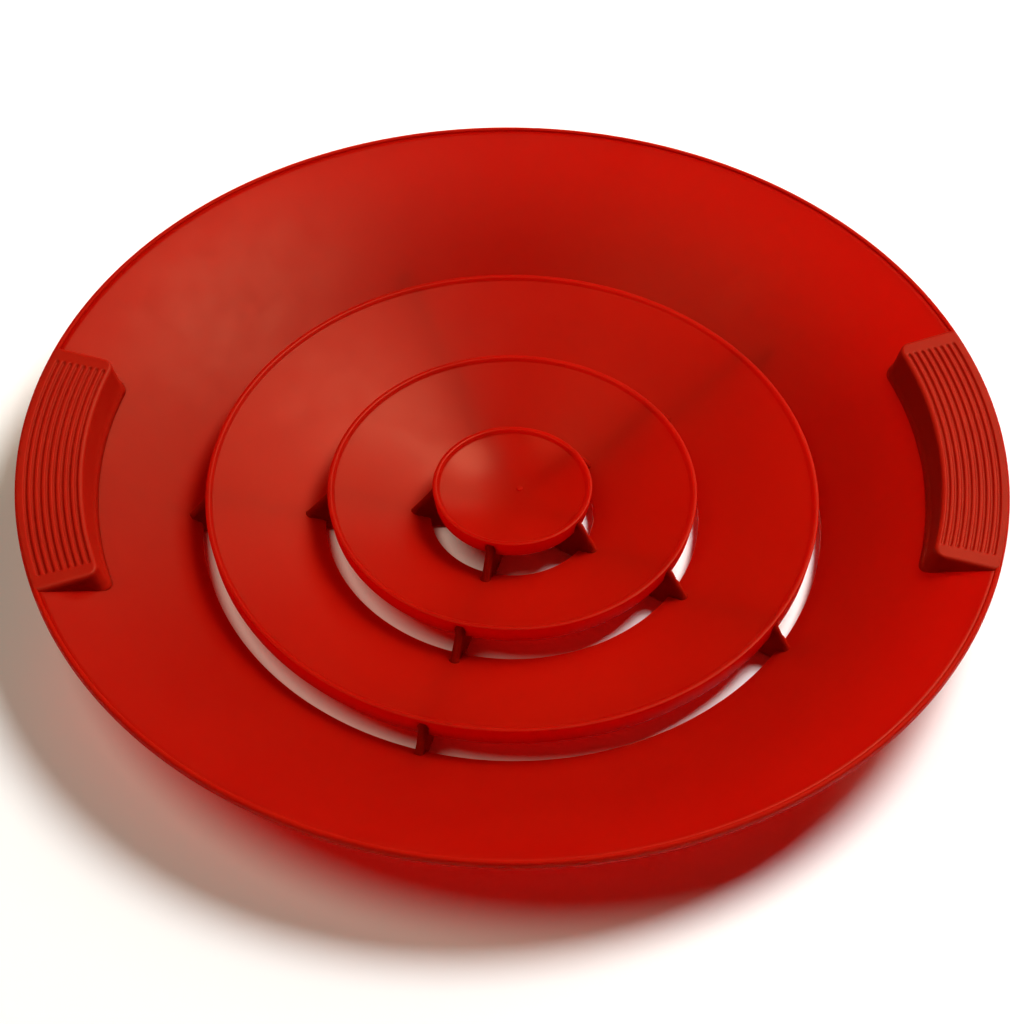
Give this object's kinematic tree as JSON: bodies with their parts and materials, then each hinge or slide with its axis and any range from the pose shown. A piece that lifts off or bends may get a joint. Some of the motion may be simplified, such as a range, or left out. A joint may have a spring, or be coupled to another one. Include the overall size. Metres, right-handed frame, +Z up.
{
  "type": "vented pan guard",
  "caption": "Shallow round silicone pan guard with concentric steam louvres on radial ribs, a beaded rim and two grooved side grips.",
  "frame": {"origin": "on the surface that the guard rests on, below the middle of the centre disc", "axes": "+Z up, along the axis of the rings; the two grips lie on the X axis, the left grip and one rib towards -X"},
  "size_m": [0.29, 0.29, 0.0305],
  "materials": {
    "body_silicone": "one-colour red silicone, satin, smooth moulded surface",
    "grip_silicone": "the same red silicone, a little more matt, with fine concentric grooves"
  },
  "bodies": {
    "root": {"outer_dish": "body_silicone", "rim_bead": "body_silicone", "outer_louvre_ring": "body_silicone", "middle_louvre_ring": "body_silicone", "centre_disc": "body_silicone", "rib_hub": "body_silicone", "radial_rib_1": "body_silicone", "radial_rib_2": "body_silicone", "radial_rib_3": "body_silicone", "radial_rib_4": "body_silicone", "radial_rib_5": "body_silicone", "left_grip": "grip_silicone", "right_grip": "grip_silicone"}
  },
  "joints": []
}
